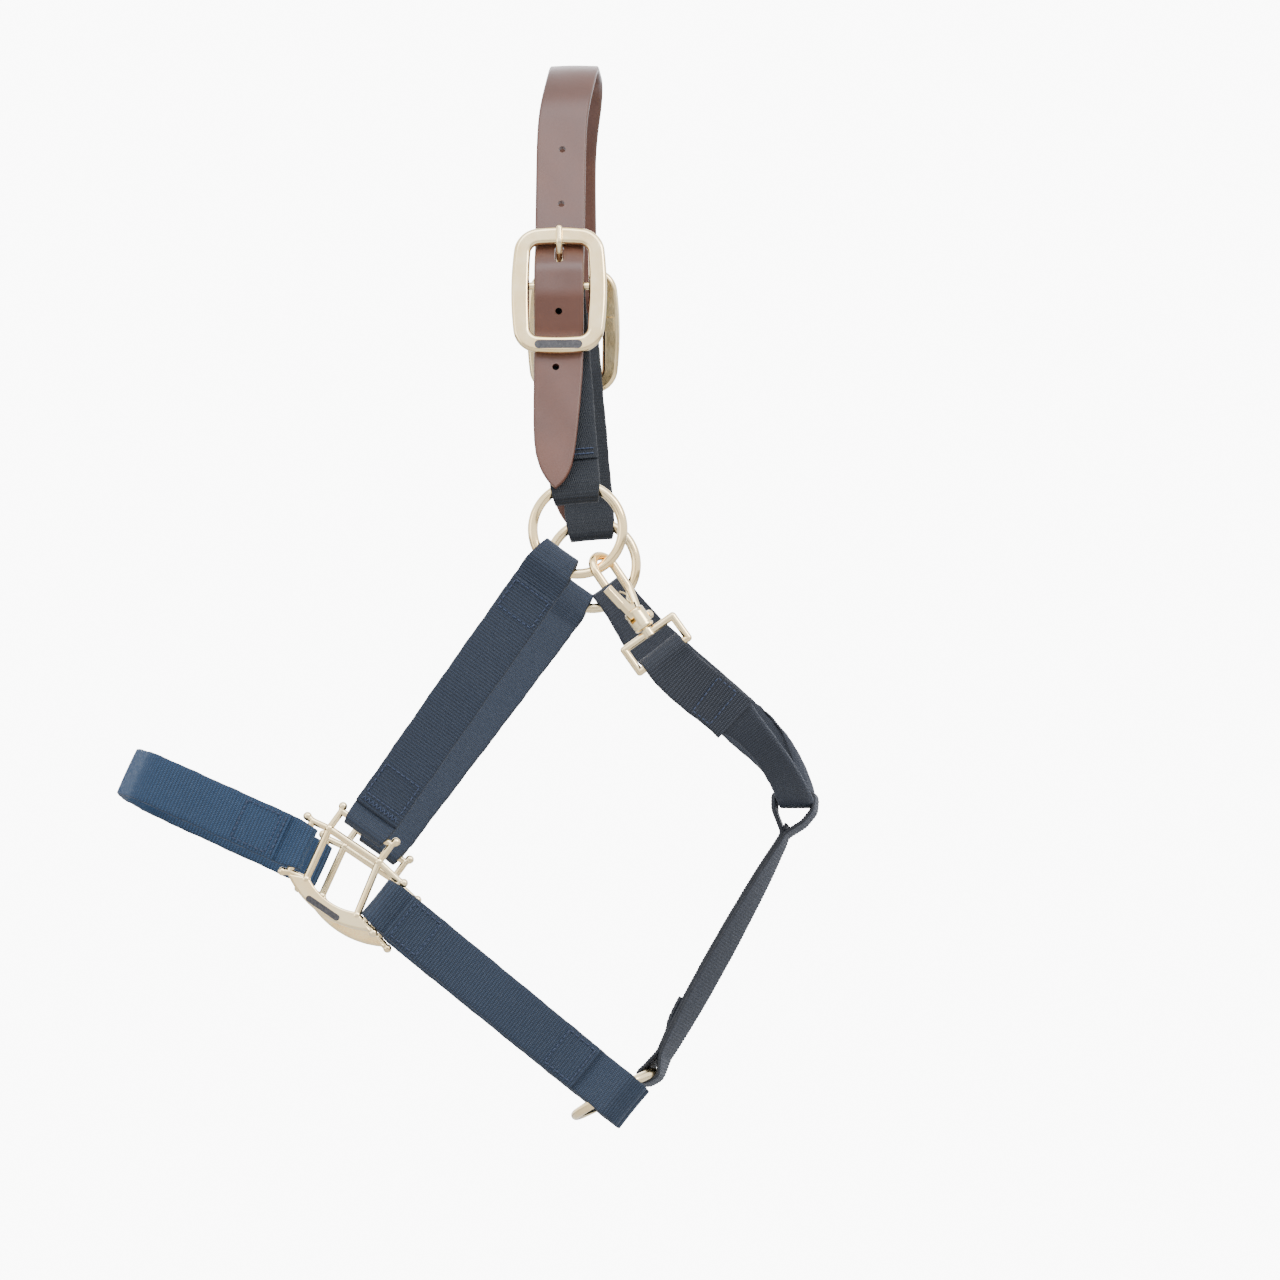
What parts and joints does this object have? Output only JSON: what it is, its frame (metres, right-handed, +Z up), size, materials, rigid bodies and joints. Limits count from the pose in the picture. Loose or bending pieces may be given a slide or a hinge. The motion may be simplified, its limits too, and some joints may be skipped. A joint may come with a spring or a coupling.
{
  "type": "horse headcollar",
  "caption": "Stable headcollar for a horse: buckled leather crownpiece, webbing cheeks, noseband and throat strap, cast brass fittings and a trigger snap.",
  "frame": {"origin": "on the horse's poll: middle of the crownpiece's inner face, in the head's middle plane", "axes": "+Z up, -X towards the nose, -Y the horse's near (left) side"},
  "size_m": [0.3554, 0.2126, 0.5388],
  "materials": {
    "crown_leather": "smooth waxed bridle leather",
    "webbing": "ribbed nylon webbing, navy",
    "thread": "bonded nylon thread",
    "brass": "polished light brass",
    "plaque_fill": "dark enamel fill",
    "spring_steel": "plated spring wire"
  },
  "bodies": {
    "crown": {"crown_strap": "crown_leather", "near_buckle_frame": "brass", "near_buckle_bar": "brass", "near_buckle_plaque": "plaque_fill", "near_billet": "webbing", "near_billet_stitching": "thread", "off_buckle_frame": "brass", "off_buckle_bar": "brass", "off_buckle_plaque": "plaque_fill", "off_billet": "webbing", "off_billet_stitching": "thread"},
    "lower": {"near_cheek_strap": "webbing", "near_square": "brass", "near_square_plaque": "plaque_fill", "near_chin_strap": "webbing", "near_cheek_stitching": "thread", "near_chin_stitching": "thread", "off_cheek_strap": "webbing", "off_square": "brass", "off_square_plaque": "plaque_fill", "off_chin_strap": "webbing", "off_cheek_stitching": "thread", "off_chin_stitching": "thread", "noseband": "webbing", "connector_strap": "webbing", "throat_strap": "webbing", "snap_eye": "brass", "snap_swivel_pin": "brass", "noseband_stitching": "thread", "connector_stitching": "thread", "throat_stitching": "thread"},
    "near_ring": {"near_cheek_ring": "brass"},
    "off_ring": {"off_cheek_ring": "brass"},
    "near_tongue": {"near_buckle_tongue": "brass"},
    "off_tongue": {"off_buckle_tongue": "brass"},
    "chin_ring": {"chin_ring": "brass"},
    "snap_hook": {"snap_hook": "brass", "snap_gate_pin": "spring_steel", "snap_spring": "spring_steel"},
    "snap_gate": {"snap_gate": "brass"}
  },
  "joints": [
    {"name": "lower_swing", "type": "hinge", "parent": "crown", "child": "lower", "pos_m": [0.0097, 0, -0.2404], "axis": [0, 1, 0], "range_deg": [0, 15]},
    {"name": "near_ring_spin", "type": "hinge", "parent": "crown", "child": "near_ring", "pos_m": [0.0097, -0.096, -0.2404], "axis": [0, -1, 0], "continuous": true},
    {"name": "off_ring_spin", "type": "hinge", "parent": "crown", "child": "off_ring", "pos_m": [0.0097, 0.096, -0.2404], "axis": [0, 1, 0], "continuous": true},
    {"name": "near_tongue_lift", "type": "hinge", "parent": "crown", "child": "near_tongue", "pos_m": [0, -0.08476, -0.11678], "axis": [1, 0, 0], "range_deg": [0, 4]},
    {"name": "off_tongue_lift", "type": "hinge", "parent": "crown", "child": "off_tongue", "pos_m": [0, 0.08476, -0.11678], "axis": [-1, 0, 0], "range_deg": [0, 4]},
    {"name": "chin_ring_spin", "type": "hinge", "parent": "lower", "child": "chin_ring", "pos_m": [0.0249, 0, -0.5182], "axis": [-0.4772, 0, 0.8788], "continuous": true},
    {"name": "snap_swivel", "type": "hinge", "parent": "lower", "child": "snap_hook", "pos_m": [0.0451, -0.098, -0.2928], "axis": [-0.558, 0.04, 0.8289], "range_deg": [-2, 8]},
    {"name": "snap_gate_open", "type": "hinge", "parent": "snap_hook", "child": "snap_gate", "pos_m": [0.03745, -0.09877, -0.2832], "axis": [-0.6399, 0.6152, -0.4605], "range_deg": [0, 10], "stiffness_Nm_per_rad": 0.02, "springref_deg": -28.65}
  ]
}
